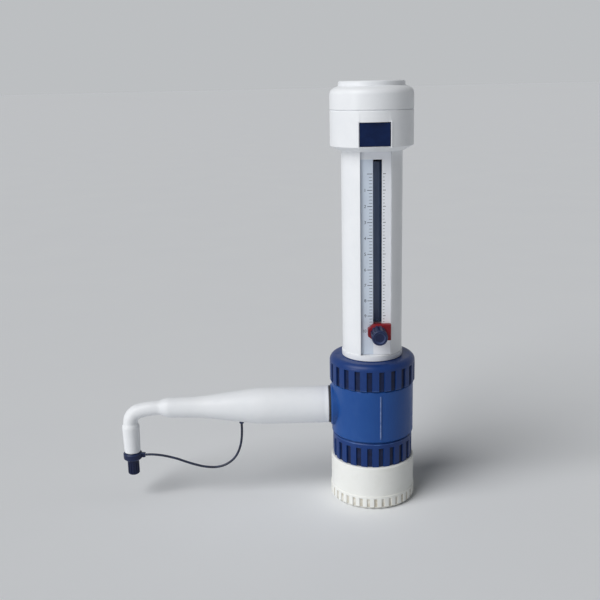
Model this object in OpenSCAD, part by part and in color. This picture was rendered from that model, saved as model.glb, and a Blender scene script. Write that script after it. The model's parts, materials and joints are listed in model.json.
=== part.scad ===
// Bottle-top dispenser: a hand piston pump that screws onto a bottle.
// Z is the piston axis, and Z = 0 is the face that the bottle adapter stands on.
// The discharge arm points along -X and the volume scale faces -Y. Sizes are millimetres.

/* [Bottle adapter] */
// Outer diameter above the ribbed rim
adapter_d = 56.2; // [56:0.2:64]
// Height from the standing face to the collar nut
adapter_h = 29.8; // [29:0.2:42]
// Height of the ribbed rim
rim_h = 9.5; // [6:0.5:14]
// How far the rim stands proud of the adapter
rim_step = 0.5; // [0.2:0.1:1.2]
// Number of grip grooves round the rim
rim_grooves = 36; // [18:2:60]
// Major diameter of the bottle thread
bottle_thread_d = 45.2; // [42:0.2:50]
// Depth of the bottle thread
bottle_thread_len = 22; // [16:0.5:24]
// Opening from the bottle up to the valve block
passage_d = 31; // [26:0.5:32]
// Thickness of the bottle gasket
gasket_t = 2; // [1:0.1:3]

/* [Collar nut] */
// Outer diameter over the ribs
collar_d = 53.6; // [50:0.2:58]
// Height of the collar nut
collar_h = 16.8; // [13:0.2:20]
// Diameter of the thread between the adapter and the collar nut
collar_thread_d = 38; // [36:0.2:42]
// Thickness of the lip that holds the valve block down
collar_lip_t = 3.6; // [2:0.2:5]
// How far the foot of the collar nut tapers in
collar_taper = 0.4; // [0.2:0.2:2.4]

/* [Valve block] */
// Outer diameter of the valve block
block_d = 55; // [53:0.2:60]
// Height of the smooth part of the valve block
block_h = 36; // [34:0.5:44]
// Height of the arm's axis above the block's underside
arm_rise = 18.5; // [16:0.5:19]
// Diameter of the neck that turns in the collar nut
neck_d = 32.6; // [30:0.2:33]
// Diameter of the bore from the valves up to the glass cylinder
riser_d = 6; // [4:0.2:7]
// Diameter of both valve cartridges
valve_d = 15.6; // [14:0.2:17]
// Diameter of the valve balls
ball_d = 5.6; // [5:0.1:6]
// Diameter of the ports that the balls close
port_d = 3.6; // [2.4:0.1:4]
// How far each ball can lift off its seat
ball_travel = 1.5; // [1:0.1:2]
// Diameter of the nipple for the filling tube
nipple_d = 6; // [5:0.2:8]

/* [Union nut] */
// Outer diameter over the ribs
nut_d = 57; // [56:0.2:62]
// Height of the union nut
nut_h = 18.2; // [16:0.2:24]
// Thickness of the lip that clamps the guide tube
nut_lip_t = 4.7; // [3:0.1:6]
// Radius of the rounded shoulder
nut_shoulder = 4; // [2:0.2:5]
// Diameter of the thread between the block and the union nut
nut_thread_d = 48; // [44:0.2:50]

/* [Grip ribs of both nuts] */
// Number of ribs round each nut
grip_ribs = 22; // [16:1:30]
// Width of the groove between two ribs
rib_gap = 3.6; // [2:0.2:4.4]
// Depth of the groove between two ribs
rib_depth = 1.1; // [0.4:0.1:1.6]

/* [Pump] */
// Full stroke of the piston, which with the bore gives 10 millilitres
stroke = 101.5; // [60:0.5:120]
// Bore of the glass cylinder
bore_d = 11.2; // [10.6:0.1:12]
// Wall of the glass cylinder
glass_wall = 2; // [1.5:0.1:2.3]
// Wall of the guide tube
guide_wall = 2.1; // [1.8:0.1:2.3]
// Thickness of the flange that clamps the guide tube
flange_t = 3.5; // [2:0.1:5]
// Length of the piston
piston_len = 11.5; // [9:0.5:14]
// Diameter of the piston rod
rod_d = 6; // [5:0.1:6.4]

/* [Sleeve] */
// Outer diameter of the sleeve
sleeve_d = 39.2; // [38.4:0.2:41]
// Wall of the sleeve
sleeve_wall = 2.2; // [1.6:0.1:2.6]
// Height of the band round the foot
foot_h = 3.5; // [2:0.5:6]
// How far the foot band stands proud
foot_step = 0.5; // [0.2:0.1:1]
// Width of the sunk panel that carries the scale
panel_w = 19.6; // [18:0.2:20.2]
// How far the panel's middle lies to the right of the sleeve's middle
panel_x = 1.1; // [0.6:0.1:1.4]
// Depth of the panel below its right edge
panel_recess = 0.9; // [0.6:0.1:1.2]
// Wall behind the panel
panel_wall = 2; // [1.4:0.1:2.2]
// Thickness of the scale plate
scale_t = 0.4; // [0.2:0.1:0.5]
// Width of the slot for the slider
slot_w = 5.7; // [5:0.1:7]
// How far the slot lies to the right of the sleeve's middle
slot_x = 2.3; // [0:0.1:2.8]
// Height of the slot's lower end above the foot of the sleeve
slot_foot = 14.5; // [12:0.5:20]
// Length of slot left above the slider's top position
slot_spare = 4.3; // [1:0.1:12]
// Height of the sleeve's wall between the slot and the head
slot_head_gap = 5; // [2:0.1:10]
// Height of the guide bush in the foot
bush_h = 6; // [4:0.5:9]

/* [Head] */
// Outer diameter of the head
head_d = 53; // [51:0.2:58]
// Height of the lower head ring
head_ring_h = 25; // [23:0.5:30]
// Height of the lid above the ring
lid_h = 17.5; // [14:0.5:24]
// Diameter where the ring meets the sleeve
head_foot_d = 42; // [41.6:0.1:46]
// Height of the taper at the foot of the ring
head_taper_h = 3; // [2:0.2:6]
// Wall of the head
head_wall = 3; // [2:0.1:4]
// Thickness of the web that holds the piston rod
web_t = 4; // [3:0.1:6]
// Diameter of the raised disc on the lid
lid_disc_d = 42; // [34:0.5:44]
// Height of the raised disc
lid_disc_h = 3.2; // [1:0.1:4]
// Width of the plate on the front
plate_w = 18.8; // [14:0.2:22]
// Height of the plate on the front
plate_h = 14.2; // [12:0.1:16]
// Thickness of the plate on the front
plate_t = 1; // [0.6:0.1:1.4]

/* [Slider] */
// Width of the slider block
slider_w = 14.8; // [12:0.2:17]
// Height of the slider block
slider_h = 10.5; // [8.5:0.1:12]
// How far the block reaches further to the right than to the left
slider_offset = 1.8; // [0:0.2:3]
// Thickness of the slider block in front of the scale
slider_t = 4; // [3:0.1:6]
// Diameter of the thumb knob
knob_d = 10.2; // [8:0.2:12]
// Length of the thumb knob
knob_len = 12.4; // [6:0.2:16]
// Diameter of the clamp screw
clamp_screw_d = 3; // [2.5:0.1:3.6]

/* [Discharge arm] */
// Diameter of the arm's root
arm_root_d = 25.2; // [23:0.2:26]
// Length of the straight root
arm_root_len = 47; // [40:1:60]
// Length of the taper down to the neck
arm_taper_len = 40; // [25:0.5:50]
// Diameter of the neck after the taper
arm_neck_d = 15; // [14.4:0.2:18]
// Length of the neck
arm_neck_len = 22.5; // [15:0.5:40]
// Diameter of the spout and of the elbow
spout_d = 10; // [8.4:0.1:11]
// Length of the taper from the neck to the spout
spout_taper_len = 6; // [4:0.5:12]
// Radius of the drooping spout along its middle
droop_r = 50; // [30:1:70]
// Radius of the elbow along its middle
elbow_r = 9; // [7:0.5:14]
// Height from the arm's axis down to the nozzle's end
nozzle_drop = 31.7; // [28:0.1:36]
// Diameter of the nozzle below its shoulder
nozzle_top_d = 12; // [11:0.1:14]
// Diameter of the nozzle's end
nozzle_d = 10.8; // [9:0.1:12]
// Height of the nozzle's shoulder
nozzle_shoulder = 2.5; // [1:0.1:5]
// Wall of the hollow arm
arm_wall = 1.8; // [1.2:0.1:2.4]
// Outer diameter of the discharge tube
tube_d = 5; // [4:0.1:6]
// Bore of the discharge tube
tube_bore_d = 3; // [1.5:0.1:3.4]
// Length of the tube's tip below the nozzle
tip_len = 11.3; // [8:0.1:13]

/* [Nozzle cap] */
// Diameter of the cap's body
cap_d = 7.9; // [7.2:0.1:10]
// Height of the cap
cap_h = 16; // [14.5:0.1:18]
// Diameter of the cap's flange
cap_flange_d = 12.8; // [11:0.1:15]
// Height of the cap's flange
cap_flange_h = 5; // [3:0.1:7]
// Diameter of the tether
tether_d = 1.6; // [1.2:0.1:1.8]
// Distance of the tether's anchor from the piston axis
anchor_x = 89.5; // [85:0.5:100]

/* [Hidden] */
$fn = 96;

WHITE = [0.93, 0.95, 0.97];
CREAM = [0.92, 0.92, 0.88];
NAVY = [0.12, 0.25, 0.48];
DARK = [0.05, 0.09, 0.2];
GREY = [0.76, 0.8, 0.85];
RED = [0.6, 0.1, 0.12];
GLASS = [0.8, 0.9, 0.92, 0.5];
STEEL = [0.7, 0.71, 0.73];
RUBBER = [0.08, 0.08, 0.09];

// Clearances: fit lies between fixed pieces, run between a guide and its bush or seal,
// and play between pieces that move past each other
fit = 0.1;
run = 0.05;
play = 0.3;
// How far a cut runs past the face that it opens
over = 1;
// Chamfer of the moulded edges
edge = 0.8;

// Levels of the bottle adapter
adapter_r = adapter_d / 2;
rim_r = adapter_r + rim_step;
rim_groove_w = 2.2;
rim_groove_depth = 0.6;
rim_chamfer = 2;
bottle_r = bottle_thread_d / 2;
passage_r = passage_d / 2;
gasket_ledge = 1;
gasket_r = bottle_r - gasket_ledge;
gasket_top = bottle_thread_len + gasket_t;

// Levels of the collar nut and of the neck that turns in it
collar_r = collar_d / 2;
collar_thread_r = collar_thread_d / 2;
collar_bore_r = collar_thread_r + fit;
collar_z = adapter_h;
collar_top = collar_z + collar_h;
collar_lip_z = collar_top - collar_lip_t;
collar_taper_h = 3;
collar_band = 3;
neck_r = neck_d / 2;
swivel_ring_t = 1.8;
swivel_groove = 1.4;
swivel_split_w = 3;
swivel_ring_top = collar_lip_z - play;
swivel_ring_z = swivel_ring_top - swivel_ring_t;
neck_land = 1.5;
neck_z = swivel_ring_z - fit - neck_land;
adapter_spigot_top = neck_z - play;

// Levels of the valve block and the union nut
block_r = block_d / 2;
block_z = collar_top + play;
block_top = block_z + block_h;
arm_z = block_z + arm_rise;
nut_r = nut_d / 2;
nut_top = block_top + nut_h;
nut_thread_r = nut_thread_d / 2;
nut_bore_r = nut_thread_r + fit;
nut_lip_z = nut_top - nut_lip_t;
spigot_top = nut_lip_z - flange_t;
index_rib_x = 3.2;
index_rib_w = 0.9;
index_rib_step = 0.5;
index_rib_inset = 3;

// The pump
bore_r = bore_d / 2;
glass_r = bore_r + glass_wall;
glass_flange_w = 3.2;
glass_flange_r = glass_r + glass_flange_w;
glass_flange_t = 4;
cylinder_seal_t = 1.5;
hub_t = 1.5;
glass_seat_r = glass_flange_r + 2 * fit;
glass_seat_z = spigot_top - hub_t - glass_flange_t - cylinder_seal_t;
glass_z = glass_seat_z + cylinder_seal_t;
glass_flange_top = glass_z + glass_flange_t;
guide_bore_r = glass_r + play;
guide_r = guide_bore_r + guide_wall;
guide_flange_gap = 1;
guide_flange_r = nut_thread_r - guide_flange_gap;
riser_r = riser_d / 2;
rod_r = rod_d / 2;
piston_gap = 0.15;
piston_foot = 5;
piston_r = bore_r - piston_gap;
piston_z = glass_z + piston_foot;
piston_top = piston_z + piston_len;
piston_neck_r = 2.1;
piston_neck_len = 6;
seal_groove = 0.9;
seal_h = 2;
seal_land = 1.6;
glass_spare = 6;
glass_top = piston_top + stroke + glass_spare;

// The valves: each ball lies just clear of the port's edge
valve_r = valve_d / 2;
ball_r = ball_d / 2;
port_r = port_d / 2;
ball_gap = 0.1;
ball_rise = sqrt(ball_r * ball_r - port_r * port_r) + ball_gap;
ball_side_gap = 0.9;
ball_chamber_r = ball_r + ball_side_gap;
retainer_t = 1.5;
retainer_holes = 3;
retainer_hole_r = 0.8;
valve_seal_t = 1.2;
ball_stop = 0.25;
ball_chamber_h = ball_rise + ball_r + ball_travel + ball_stop + retainer_t;
nipple_r = nipple_d / 2;
nipple_rise = 1;
nipple_z = gasket_top + nipple_rise;
intake_port_len = 5;
intake_inset = 0.7;
intake_z = neck_z + intake_inset;
intake_top = intake_z + intake_port_len + ball_chamber_h + valve_seal_t;
intake_seal_z = intake_top - valve_seal_t;
intake_seat_z = intake_seal_z - ball_chamber_h;
intake_ball_z = intake_seat_z + ball_rise;

// The discharge side, measured along -X from the piston axis
boss_wall = 1.6;
boss_step = 0.8;
arm_plug_step = 0.8;
arm_root_r = arm_root_d / 2;
boss_r = arm_root_r + boss_wall;
boss_reach = block_r + boss_step;
arm_plug_r = arm_root_r - arm_plug_step;
arm_plug_len = 4;
arm_plug_x = boss_reach - arm_plug_len + fit;
arm_seal_t = 1.1;
arm_root_x = boss_reach + arm_seal_t + 2 * fit;
discharge_wall = 7;
discharge_x = riser_r + discharge_wall;
discharge_port_len = 2.5;
discharge_seat_x = discharge_x + discharge_port_len;
discharge_ball_x = discharge_seat_x + ball_rise;
spring_wire_d = 0.5;
spring_r = 1.9;
spring_turns = 5;
spring_reach = ball_r + spring_wire_d / 2 + fit;
spring_x = discharge_ball_x + sqrt(spring_reach * spring_reach - spring_r * spring_r);
spring_end_x = arm_plug_x - fit - spring_wire_d / 2;

// The arm, its spout and the nozzle
arm_taper_x = arm_root_x + arm_root_len;
arm_neck_x = arm_taper_x + arm_taper_len;
arm_neck_r = arm_neck_d / 2;
arm_neck_draft = 0.5;
arm_neck_end_r = arm_neck_r - arm_neck_draft;
arm_neck_end_x = arm_neck_x + arm_neck_len;
spout_x = arm_neck_end_x + spout_taper_len;
// The angle by which the spout droops has a round sine and cosine, so that both bends meet exactly
droop_sin = 0.28;
droop_cos = 0.96;
droop = asin(droop_sin);
bend_lap = 5;
bend_x = spout_x + droop_r * droop_sin;
bend_z = arm_z - droop_r * (1 - droop_cos);
elbow_x = bend_x - elbow_r * droop_sin;
elbow_z = bend_z - elbow_r * droop_cos;
nozzle_x = elbow_x + elbow_r;
nozzle_z = arm_z - nozzle_drop;
spout_r = spout_d / 2;
nozzle_top_r = nozzle_top_d / 2;
nozzle_r = nozzle_d / 2;
tube_r = tube_d / 2;
tip_z = nozzle_z - tip_len;

// The nozzle cap and its tether
cap_r = cap_d / 2;
cap_top = nozzle_z - play;
cap_z = cap_top - cap_h;
cap_flange_r = cap_flange_d / 2;
cap_flange_z = cap_top - cap_flange_h;
cap_bore_spare = 1;
cap_bore_z = tip_z - cap_bore_spare;
lug_reach = 2.3;
lug_w = 2.6;
lug_h = 3.2;
anchor_r = 1.1;
anchor_collar_r = 1.6;
anchor_collar_h = 1.6;
anchor_gap = 0.4;
anchor_top = arm_z - arm_r(anchor_x) + 2 * arm_wall;
anchor_z = arm_z - arm_r(anchor_x) - anchor_gap - anchor_collar_h;
// The tether runs from the cap's lug to the anchor under the arm, as X and Z
tether_route = [
    [-158.1, 31.7], [-154, 31.7], [-149.5, 31.2], [-145, 30.4], [-140.5, 29.2], [-136, 27.8],
    [-131.5, 26], [-127, 24.3], [-122.5, 22.8], [-118, 21.6], [-113.5, 20.9], [-109, 20.8],
    [-104.5, 21.6], [-100.5, 23.4], [-97, 26], [-94.2, 29.4], [-92.2, 33.4], [-90.8, 37.8],
    [-90, 42.4], [-89.6, 47.2], [-89.5, 52.3]
];
tether_start = [cap_flange_r + lug_reach + play - nozzle_x, cap_top - edge - lug_h / 2];
tether_end = [-anchor_x, anchor_z];

// The sleeve and what slides on it
sleeve_r = sleeve_d / 2;
sleeve_z = nut_top + play;
sleeve_bore_r = sleeve_r - sleeve_wall;
foot_r = sleeve_r + foot_step;
panel_left = panel_x - panel_w / 2;
panel_right = panel_x + panel_w / 2;
panel_edge_y = sqrt(sleeve_r * sleeve_r - panel_right * panel_right);
panel_y = panel_edge_y - panel_recess;
panel_back_y = panel_y - panel_wall;
panel_z = sleeve_z + foot_h;
slider_rest_gap = 0.5;
tongue_inset = 1.5;
tongue_h = slider_h - tongue_inset;
slot_z = sleeve_z + slot_foot;
slot_len = slider_rest_gap + tongue_h + stroke + slot_spare;
slot_top = slot_z + slot_len;
slider_z = slot_z + slider_rest_gap + tongue_h / 2;
bush_inset = 0.5;
bush_z = sleeve_z + bush_inset;
guide_overlap = 20;
guide_top = bush_z + stroke + bush_h + guide_overlap;

// The head
head_z = slot_top + slot_head_gap;
head_r = head_d / 2;
head_foot_r = head_foot_d / 2;
head_bore_r = sleeve_r + fit;
parting_z = head_z + head_ring_h;
parting_edge = 0.5;
lid_spigot_h = 3.5;
lid_spigot_r = head_r - head_wall - fit;
lid_room = 5.5;
web_top = parting_z - lid_room;
web_z = web_top - web_t;
head_top = parting_z + lid_h;
lid_roof_t = 2.5;
lid_disc_r = lid_disc_d / 2;
lid_shoulder = 4.2;
sleeve_flange_t = 5;
sleeve_flange_z = web_z - sleeve_flange_t;
sleeve_eye_gap = 1.5;
sleeve_eye_r = guide_r + sleeve_eye_gap;
screw_count = 3;
screw_r = 1.5;
screw_head_r = 2.8;
screw_head_h = 2;
screw_circle_r = (sleeve_eye_r + sleeve_bore_r) / 2;
// The plate's face lies where its sides meet the round head
plate_y = sqrt(head_r * head_r - plate_w * plate_w / 4);
plate_rise = 3.6;
plate_z = head_z + plate_rise;
plate_gap = 0.3;
plate_rim = 1;
rod_collar_w = 2.5;
rod_collar_r = rod_r + rod_collar_w;
rod_collar_h = 4;
rod_nut_wall = 2.55;
rod_nut_r = rod_r + rod_nut_wall;
rod_nut_h = 5;
rod_end = 2;
rod_top = web_top + rod_nut_h + rod_end;

// The slider, its clamp and its knob, measured along -Y from the piston axis
scale_y = panel_y + scale_t;
slider_y = scale_y + play;
slider_front_y = slider_y + slider_t;
// The block stays between the edges of the panel
slider_left = max((slider_offset - slider_w) / 2, panel_left + play - slot_x);
slider_right = min((slider_offset + slider_w) / 2, panel_right - play - slot_x);
tongue_w = slot_w - 2 * fit - 2 * run;
clamp_front_y = panel_back_y - play;
clamp_back_y = guide_r + 2 * play;
clamp_lap = 3;
clamp_nut_h = 10.5;
clamp_nut_w = slot_w + 2 * clamp_lap;
clamp_screw_r = clamp_screw_d / 2;
knob_r = knob_d / 2;
knob_y = slider_front_y + play;
knob_front_y = knob_y + knob_len;
knob_flutes = 12;
knob_flute_r = 0.7;
finger_w = 3;
finger_h = 2.6;
finger_depth = 0.8;
groove_floor_y = guide_r - finger_depth - play;

function lerp(a, b, t) = a + (b - a) * t;

// Outer radius of the arm at a distance from the piston axis
function arm_r(x) = lerp(arm_root_r, arm_neck_r, max(0, min(1, (x - arm_taper_x) / arm_taper_len)));

module ring(r_in, r_out, z0, z1) {
    rotate_extrude() translate([r_in, z0]) square([r_out - r_in, z1 - z0]);
}

module rod(r, z0, z1) {
    translate([0, 0, z0]) cylinder(r = r, h = z1 - z0);
}

// A box from x, y and z spans
module block(x, y, z) {
    translate([x[0], y[0], z[0]]) cube([x[1] - x[0], y[1] - y[0], z[1] - z[0]]);
}

module around(count) {
    for (i = [0 : count - 1]) rotate(i * 360 / count) children();
}

// Turns a shape on Z so that it lies along the arm, the front or the back
module along_arm() {
    translate([0, 0, arm_z]) rotate([0, -90, 0]) children();
}

module to_front(x, z) {
    translate([x, 0, z]) rotate([90, 0, 0]) children();
}

module to_back(z) {
    translate([0, 0, z]) rotate([-90, 0, 0]) children();
}

module at_nozzle() {
    translate([-nozzle_x, 0, 0]) children();
}

// Straight grooves cut into a round grip
module grip_grooves(count, r, depth, width, z0, z1) {
    around(count) block([r - depth, r + over], [-width / 2, width / 2], [z0, z1]);
}

// Bottle adapter, gasket and collar nut

module bottle_adapter() {
    color(CREAM) difference() {
        rotate_extrude() polygon([
            [passage_r, gasket_top], [passage_r, adapter_spigot_top],
            [collar_thread_r, adapter_spigot_top], [collar_thread_r, adapter_h],
            [adapter_r - edge, adapter_h], [adapter_r, adapter_h - edge],
            [adapter_r, rim_h], [rim_r, rim_h - rim_step],
            [rim_r, rim_chamfer], [rim_r - rim_chamfer, 0],
            [bottle_r, 0], [bottle_r, bottle_thread_len],
            [gasket_r, bottle_thread_len], [gasket_r, gasket_top]
        ]);
        grip_grooves(rim_grooves, rim_r, rim_groove_depth, rim_groove_w, -over, rim_h - 2 * edge);
    }
}

module adapter_gasket() {
    color(RUBBER) ring(passage_r, gasket_r - fit, bottle_thread_len, gasket_top);
}

module collar_nut() {
    color(NAVY) difference() {
        rotate_extrude() polygon([
            [collar_bore_r, collar_z], [collar_r - collar_taper, collar_z],
            [collar_r, collar_z + collar_taper_h], [collar_r, collar_top - edge],
            [collar_r - edge, collar_top], [neck_r + play, collar_top],
            [neck_r + play, collar_lip_z], [collar_bore_r, collar_lip_z]
        ]);
        grip_grooves(grip_ribs, collar_r, rib_depth, rib_gap, collar_z - over, collar_top - collar_band);
    }
}

// Valve block and what is screwed into it

vent_wall = 4.5;
vent_y = valve_r + vent_wall;
vent_r = 1.2;
vent_plug_r = 3.4;
vent_plug_len = 6;
vent_head_r = 5;
vent_head_t = 1.6;
vent_sink = 0.8;
vent_face_y = sqrt(block_r * block_r - vent_head_r * vent_head_r) - vent_sink;

module block_body() {
    rotate_extrude() polygon([
        [0, neck_z], [neck_r, neck_z], [neck_r, swivel_ring_z - fit],
        [neck_r - swivel_groove, swivel_ring_z - fit], [neck_r - swivel_groove, swivel_ring_top + fit],
        [neck_r, swivel_ring_top + fit], [neck_r, block_z],
        [block_r - 1.5 * edge, block_z], [block_r, block_z + 1.5 * edge],
        [block_r, block_top - edge], [block_r - edge, block_top],
        [nut_thread_r, block_top], [nut_thread_r, spigot_top], [0, spigot_top]
    ]);
    along_arm() rotate_extrude() polygon([
        [0, 0], [boss_r, 0], [boss_r, boss_reach - edge], [boss_r - edge, boss_reach], [0, boss_reach]
    ]);
    rotate(asin(index_rib_x / block_r))
        block([-index_rib_w / 2, index_rib_w / 2], [-block_r - index_rib_step, -block_r + over],
              [block_z + index_rib_inset, block_top - index_rib_inset]);
}

module valve_block() {
    color(NAVY) difference() {
        block_body();
        rod(glass_seat_r, glass_seat_z, spigot_top + over);
        rod(riser_r, intake_top - over, glass_seat_z + over);
        rod(valve_r + fit, neck_z - over, intake_top);
        along_arm() {
            rod(port_r, 0, discharge_x + over);
            rod(valve_r + fit, discharge_x, boss_reach + over);
            rod(arm_plug_r + fit, boss_reach - arm_plug_len, boss_reach + over);
        }
        translate([0, vent_y, 0]) rod(vent_r, neck_z - over, arm_z);
        to_back(arm_z) {
            rod(vent_r, vent_y, vent_face_y);
            rod(vent_plug_r + fit, vent_face_y - vent_plug_len, vent_face_y + over);
            rod(vent_head_r + fit, vent_face_y, block_r + over);
        }
    }
}

module vent_plug() {
    color(DARK) to_back(arm_z) difference() {
        union() {
            rod(vent_plug_r, vent_face_y - vent_plug_len, vent_face_y + fit);
            rod(vent_head_r, vent_face_y, vent_face_y + vent_head_t);
        }
        rod(vent_r, vent_face_y - vent_plug_len - over, vent_face_y + vent_head_t + over);
    }
}

module swivel_ring() {
    color(WHITE) difference() {
        ring(neck_r - swivel_groove + fit, collar_bore_r - play, swivel_ring_z, swivel_ring_top);
        block([-swivel_split_w / 2, swivel_split_w / 2], [0, collar_bore_r],
              [swivel_ring_z - over, swivel_ring_top + over]);
    }
}

module union_nut() {
    shoulder = [for (a = [0 : 15 : 90])
        [nut_r - nut_shoulder * (1 - cos(a)), nut_top - nut_shoulder * (1 - sin(a))]];
    color(NAVY) difference() {
        rotate_extrude() polygon(concat(
            [[nut_bore_r, block_top], [nut_r - edge, block_top], [nut_r, block_top + edge]],
            shoulder,
            [[guide_r + play, nut_top], [guide_r + play, nut_lip_z], [nut_bore_r, nut_lip_z]]
        ));
        grip_grooves(grip_ribs, nut_r, rib_depth, rib_gap, block_top - over, nut_top - nut_shoulder);
    }
}

module guide_tube() {
    color(DARK) difference() {
        rotate_extrude() polygon([
            [guide_bore_r, glass_flange_top], [glass_flange_r, glass_flange_top],
            [glass_flange_r, spigot_top], [guide_flange_r, spigot_top],
            [guide_flange_r, nut_lip_z], [guide_r, nut_lip_z],
            [guide_r, guide_top], [guide_bore_r, guide_top]
        ]);
        block([slot_x - finger_w / 2 - play, slot_x + finger_w / 2 + play],
              [-guide_r - over, -groove_floor_y], [slot_z - clamp_nut_h, guide_top + over]);
    }
}

module glass_cylinder() {
    color(GLASS) rotate_extrude() polygon([
        [bore_r, glass_z], [glass_flange_r, glass_z], [glass_flange_r, glass_flange_top],
        [glass_r, glass_flange_top], [glass_r, glass_top], [bore_r, glass_top]
    ]);
}

module cylinder_seal() {
    color(WHITE) ring(bore_r, glass_flange_r, glass_seat_z, glass_z);
}

module intake_valve_body() {
    color(WHITE) difference() {
        union() {
            rod(valve_r, intake_z, intake_seal_z);
            rod(nipple_r, nipple_z, intake_z + fit);
        }
        rod(port_r, nipple_z - over, intake_seat_z + over);
        rod(ball_chamber_r, intake_seat_z, intake_seal_z + over);
    }
}

module intake_seal() {
    color(RUBBER) ring(ball_chamber_r, valve_r, intake_seal_z, intake_top);
}

module ball_retainer() {
    color(WHITE) difference() {
        rod(ball_chamber_r - fit, intake_seal_z - retainer_t, intake_seal_z);
        around(retainer_holes) translate([ball_chamber_r / 2, 0, 0])
            rod(retainer_hole_r, intake_seal_z - retainer_t - over, intake_seal_z + over);
    }
}

module intake_ball() {
    color(GLASS) translate([0, 0, intake_ball_z]) sphere(r = ball_r);
}

module discharge_valve_body() {
    color(WHITE) along_arm() difference() {
        rod(valve_r, discharge_x, boss_reach - arm_plug_len);
        rod(port_r, discharge_x - over, discharge_seat_x + over);
        rod(ball_chamber_r, discharge_seat_x, boss_reach);
    }
}

module discharge_ball() {
    color(GLASS) along_arm() translate([0, 0, discharge_ball_x]) sphere(r = ball_r);
}

// A closed tube of flat sides round a list of points, with the ends cut square
function unit(v) = v / norm(v);
function heading(path, i) = unit(path[min(i + 1, len(path) - 1)] - path[max(i - 1, 0)]);
function tube_points(path, r, sides, side_axis) = [
    for (i = [0 : len(path) - 1])
        let (ahead = heading(path, i))
        let (across = unit(side_axis - ahead * (side_axis * ahead)))
        let (upward = cross(ahead, across))
        for (k = [0 : sides - 1])
            path[i] + r * (cos(k * 360 / sides) * across + sin(k * 360 / sides) * upward)
];
function tube_faces(rings, sides) = concat(
    [for (k = [1 : sides - 2]) [0, k + 1, k]],
    [for (i = [0 : rings - 2], k = [0 : sides - 1])
        let (a = i * sides + k, b = i * sides + (k + 1) % sides)
        each [[a, b, b + sides], [a, b + sides, a + sides]]],
    [for (k = [1 : sides - 2]) [(rings - 1) * sides, (rings - 1) * sides + k, (rings - 1) * sides + k + 1]]
);

module tube(path, r, sides, side_axis) {
    polyhedron(tube_points(path, r, sides, side_axis), tube_faces(len(path), sides));
}

// The spring is one helix between the ball and the arm's plug
spring_steps = 8;
spring_sides = 6;
spring_path = [for (i = [0 : spring_turns * spring_steps])
    let (a = i * 360 / spring_steps)
    [spring_r * cos(a), spring_r * sin(a),
     lerp(spring_x, spring_end_x, i / (spring_turns * spring_steps))]];

module discharge_spring() {
    color(STEEL) along_arm() tube(spring_path, spring_wire_d / 2, spring_sides, [0, 0, 1]);
}

// Arm, tube, nozzle cap and tether

module bend(bend_r, turn, r) {
    rotate_extrude(angle = turn) translate([bend_r, 0]) circle(r = r);
}

// Half of space, on one side of the plane where the two bends meet
module beyond_bend(side) {
    half = 4 * (droop_r + elbow_r);
    translate([-bend_x, 0, bend_z]) rotate([0, -droop, 0]) translate([side * half / 2, 0, 0])
        cube(half, center = true);
}

// The spout droops first and then turns down at the elbow. Both bends run on and are cut where they meet
module spout_bends(r) {
    difference() {
        translate([-spout_x, 0, arm_z - droop_r]) rotate([0, -90, 0]) rotate([90, 0, 0])
            bend(droop_r, droop + bend_lap, r);
        beyond_bend(-1);
    }
    difference() {
        translate([-elbow_x, 0, elbow_z]) rotate([90, 0, 180]) bend(elbow_r, 90 - droop + bend_lap, r);
        beyond_bend(1);
    }
}

// The tube's way through the arm, at a radius, with its ends a little longer where it is a cut
module tube_way(r, extra) {
    along_arm() rod(r, arm_plug_x - extra, spout_x);
    spout_bends(r);
    at_nozzle() rod(r, tip_z - extra, elbow_z);
}

module arm_outside() {
    along_arm() rotate_extrude() polygon([
        [0, arm_plug_x], [arm_plug_r, arm_plug_x], [arm_plug_r, arm_root_x],
        [arm_root_r - edge, arm_root_x], [arm_root_r, arm_root_x + edge], [arm_root_r, arm_taper_x],
        [arm_neck_r, arm_neck_x], [arm_neck_end_r, arm_neck_end_x],
        [spout_r, spout_x], [0, spout_x]
    ]);
    spout_bends(spout_r);
    at_nozzle() rotate_extrude() polygon([
        [0, nozzle_z], [nozzle_r, nozzle_z], [nozzle_top_r, elbow_z - nozzle_shoulder],
        [spout_r, elbow_z], [0, elbow_z]
    ]);
}

module discharge_arm() {
    color(WHITE) difference() {
        arm_outside();
        along_arm() rotate_extrude() polygon([
            [0, arm_root_x + arm_wall], [arm_root_r - arm_wall, arm_root_x + arm_wall],
            [arm_root_r - arm_wall, arm_taper_x], [arm_neck_r - arm_wall, arm_neck_x], [0, arm_neck_x]
        ]);
        tube_way(tube_r + fit, over);
        translate([-anchor_x, 0, 0]) rod(anchor_r + fit, arm_z - arm_root_r - over, anchor_top);
    }
}

module arm_seal() {
    color(RUBBER) along_arm() ring(arm_plug_r + fit, arm_root_r, boss_reach + fit, arm_root_x - fit);
}

module discharge_tube() {
    color(GLASS) difference() {
        tube_way(tube_r, 0);
        tube_way(tube_bore_d / 2, over);
    }
}

module tether_anchor() {
    color(DARK) translate([-anchor_x, 0, 0]) {
        rod(anchor_collar_r, anchor_z, anchor_z + anchor_collar_h);
        rod(anchor_r, anchor_z, anchor_top);
    }
}

// Each point moves with the end that it lies nearer to, so that the tether meets both ends at any size
tether_last = len(tether_route) - 1;
start_moved = tether_start - tether_route[0];
end_moved = tether_end - tether_route[tether_last];
tether_path = [for (i = [0 : tether_last])
    let (p = tether_route[i] + lerp(start_moved, end_moved, i / tether_last))
    [p[0], 0, p[1]]];

module cap_tether() {
    color(DARK) tube(tether_path, tether_d / 2, 8, [0, 1, 0]);
}

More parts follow.
